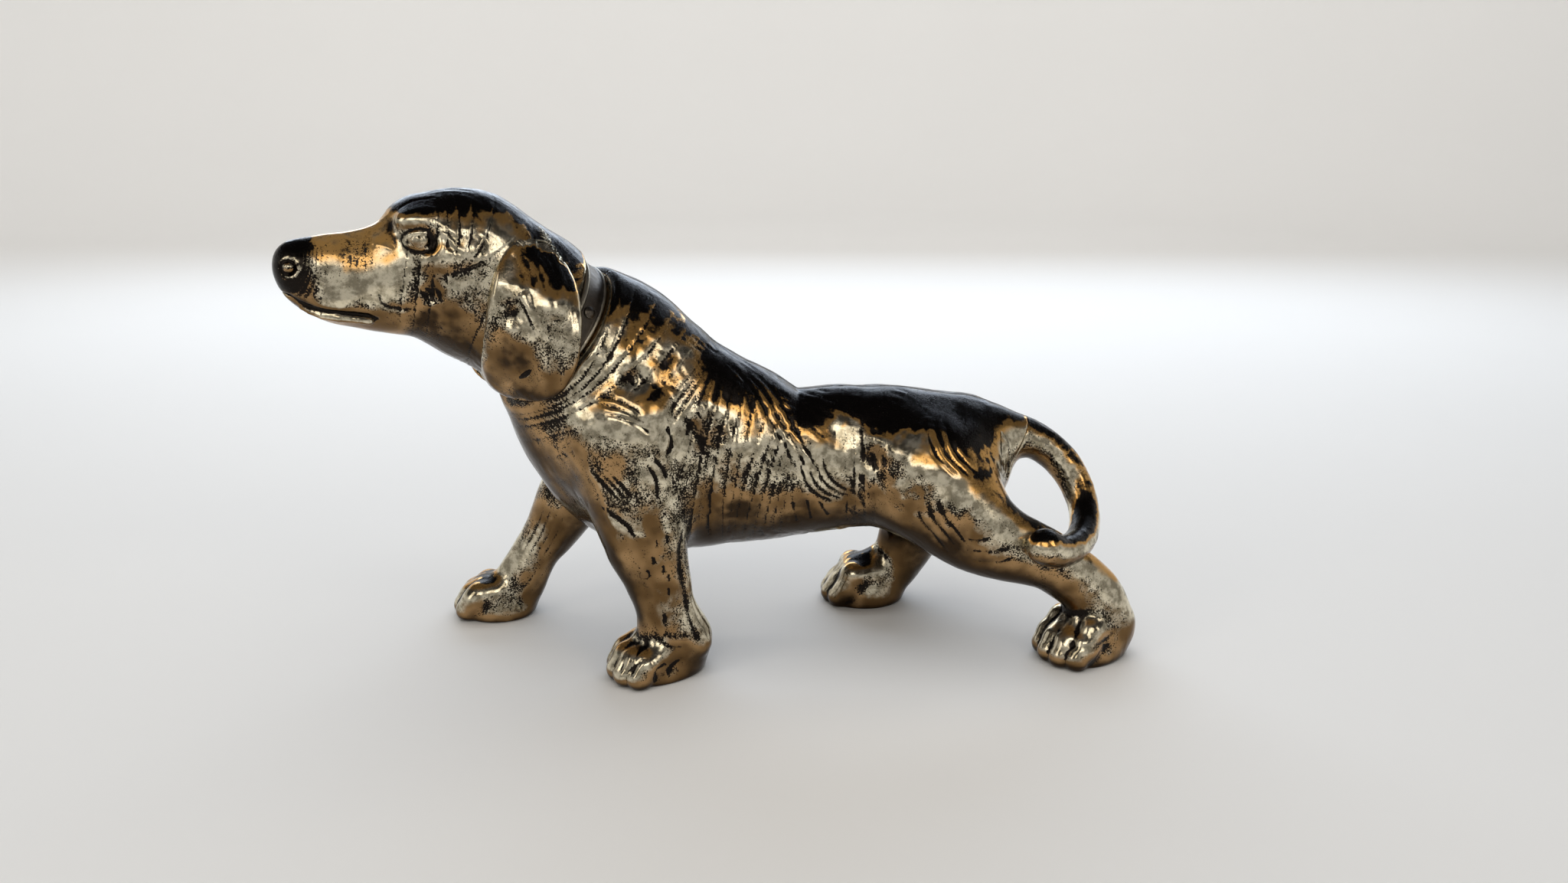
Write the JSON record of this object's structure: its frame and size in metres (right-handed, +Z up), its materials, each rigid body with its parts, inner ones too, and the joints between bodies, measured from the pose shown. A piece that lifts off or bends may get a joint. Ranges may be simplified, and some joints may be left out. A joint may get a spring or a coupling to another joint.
{
  "type": "dog figurine",
  "caption": "Cast metal hunting dog standing low with its head stretched forward, long hanging ears, a studded collar, and a tail curled down to its hock.",
  "frame": {"origin": "on the floor under the middle of the dog's outer box", "axes": "+X from the nose towards the tail, +Y to the dog's right, +Z up"},
  "size_m": [0.2952, 0.0868, 0.172],
  "materials": {
    "cast_metal": "polished with an antique nickel look, and black patina in the chased fur, pits and folds",
    "dark_metal": "dull, darkened antique nickel look",
    "screw_metal": "satin, darkened"
  },
  "bodies": {
    "root": {"body_left_half": "cast_metal", "body_right_half": "cast_metal", "head": "cast_metal", "ear_left": "cast_metal", "ear_right": "cast_metal", "tail": "cast_metal", "collar_strap": "dark_metal", "collar_stud_1": "dark_metal", "collar_stud_2": "dark_metal", "collar_stud_3": "dark_metal", "collar_stud_4": "dark_metal", "collar_stud_5": "dark_metal", "body_screw_front": "screw_metal", "body_screw_middle": "screw_metal", "body_screw_rear": "screw_metal"}
  },
  "joints": []
}
